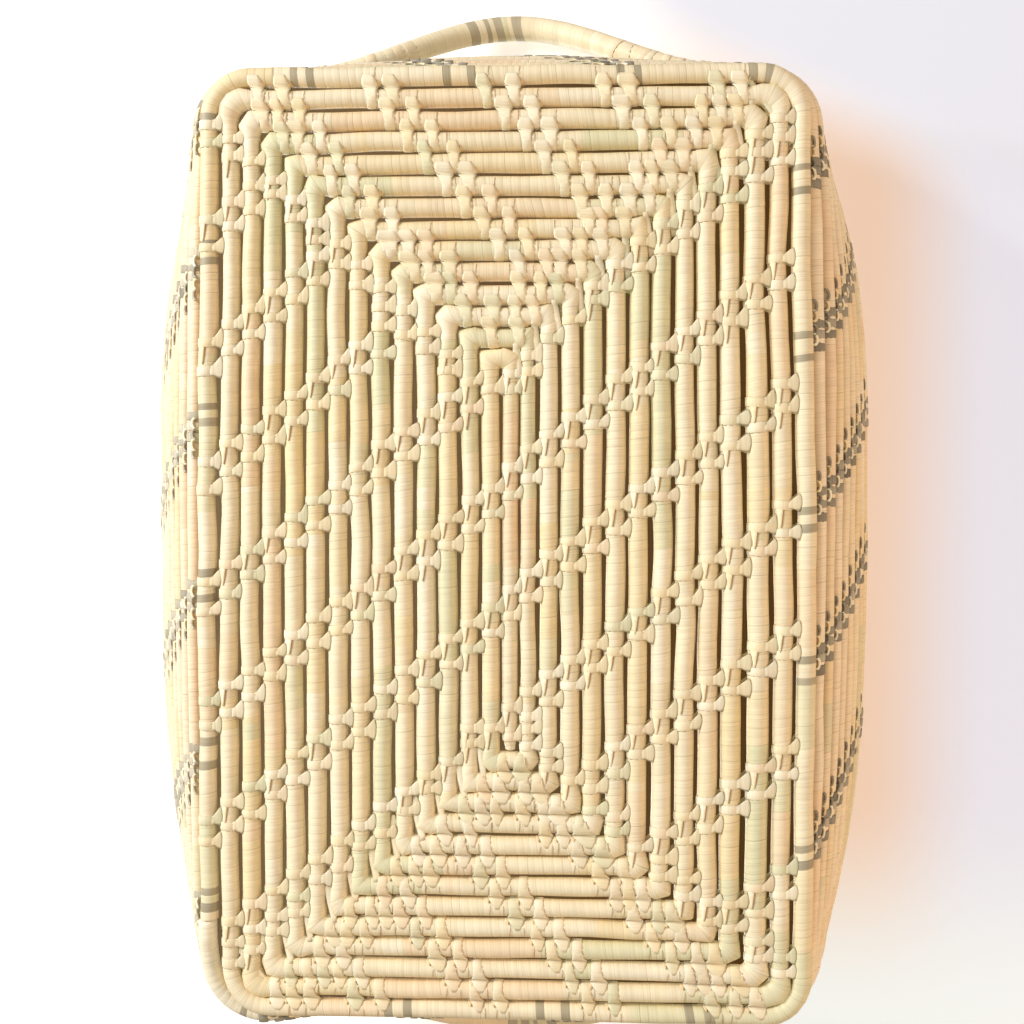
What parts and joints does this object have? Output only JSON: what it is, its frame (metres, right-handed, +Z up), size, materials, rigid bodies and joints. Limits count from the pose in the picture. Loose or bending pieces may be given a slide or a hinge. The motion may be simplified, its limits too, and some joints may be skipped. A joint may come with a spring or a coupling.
{
  "type": "coiled basket tray",
  "caption": "Shallow rectangular tray of coiled leaf-wrapped rod with walls that lean outward, slanting rows of stitches and an arched handle lashed to the rim at each short end.",
  "frame": {"origin": "middle of the tray's outline on the surface that it stands on", "axes": "+X across the tray, +Y along its length towards the back handle, +Z up out of the open top"},
  "size_m": [0.3524, 0.5333, 0.1264],
  "materials": {
    "leaf_rod": "dry palm leaf strip wrapped round the rod, satin on the ridges",
    "leaf_stitch": "dry palm leaf strip, satin",
    "dyed_stitch": "palm leaf strip dyed grey-brown, matt",
    "handle_leaf": "dry palm leaf strip wound close, satin",
    "stem": "raw stems"
  },
  "bodies": {
    "root": {"base_coil": "leaf_rod", "wall_coil": "leaf_rod", "base_stitch_01": "leaf_stitch", "base_stitch_02": "leaf_stitch", "base_stitch_03": "leaf_stitch", "base_stitch_04": "leaf_stitch", "base_stitch_05": "leaf_stitch", "base_stitch_06": "leaf_stitch", "base_stitch_07": "leaf_stitch", "base_stitch_08": "leaf_stitch", "base_stitch_09": "leaf_stitch", "base_stitch_10": "leaf_stitch", "base_stitch_11": "leaf_stitch", "base_stitch_12": "leaf_stitch", "base_stitch_13": "leaf_stitch", "base_stitch_14": "leaf_stitch", "wall_stitch_01": "dyed_stitch", "wall_stitch_02": "dyed_stitch", "wall_stitch_03": "dyed_stitch", "wall_stitch_04": "dyed_stitch", "wall_stitch_05": "dyed_stitch", "wall_stitch_06": "dyed_stitch", "wall_stitch_07": "dyed_stitch", "wall_stitch_08": "dyed_stitch", "wall_stitch_09": "dyed_stitch", "wall_stitch_10": "dyed_stitch", "wall_stitch_11": "dyed_stitch", "wall_stitch_12": "dyed_stitch", "wall_stitch_13": "dyed_stitch", "wall_stitch_14": "dyed_stitch", "front_handle_core": "stem", "front_handle_wrap": "handle_leaf", "front_left_lashing": "handle_leaf", "front_right_lashing": "handle_leaf", "back_handle_core": "stem", "back_handle_wrap": "handle_leaf", "back_left_lashing": "handle_leaf", "back_right_lashing": "handle_leaf"}
  },
  "joints": []
}
